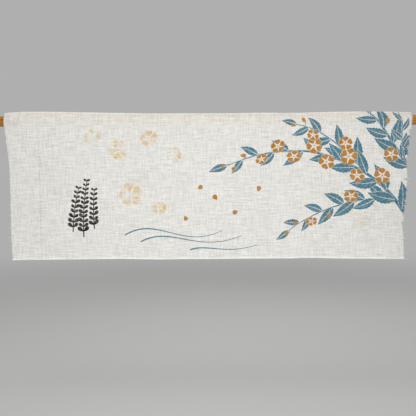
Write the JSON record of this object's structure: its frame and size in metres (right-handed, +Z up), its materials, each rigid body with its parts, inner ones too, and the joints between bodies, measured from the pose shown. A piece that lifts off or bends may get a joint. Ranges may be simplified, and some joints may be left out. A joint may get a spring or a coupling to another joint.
{
  "type": "tenugui towel on a wooden rod",
  "caption": "Long flat cotton towel draped over a plain round wooden rod: a wide fall in front, a softly pressed fold over the rod, a short flap behind, raw-cut ends.",
  "frame": {"origin": "on the rod's axis, half way along the rod", "axes": "+X along the rod to the viewer's right, the viewer stands at -Y, +Z up"},
  "size_m": [1, 0.0313, 0.3243],
  "materials": {
    "cotton_cloth": "undyed slubby plain weave with a dyed flower pattern in teal, ochre and dark ink",
    "varnished_wood": "golden-brown wood under a clear satin varnish"
  },
  "bodies": {
    "root": {"towel": "cotton_cloth", "rod": "varnished_wood"}
  },
  "joints": []
}
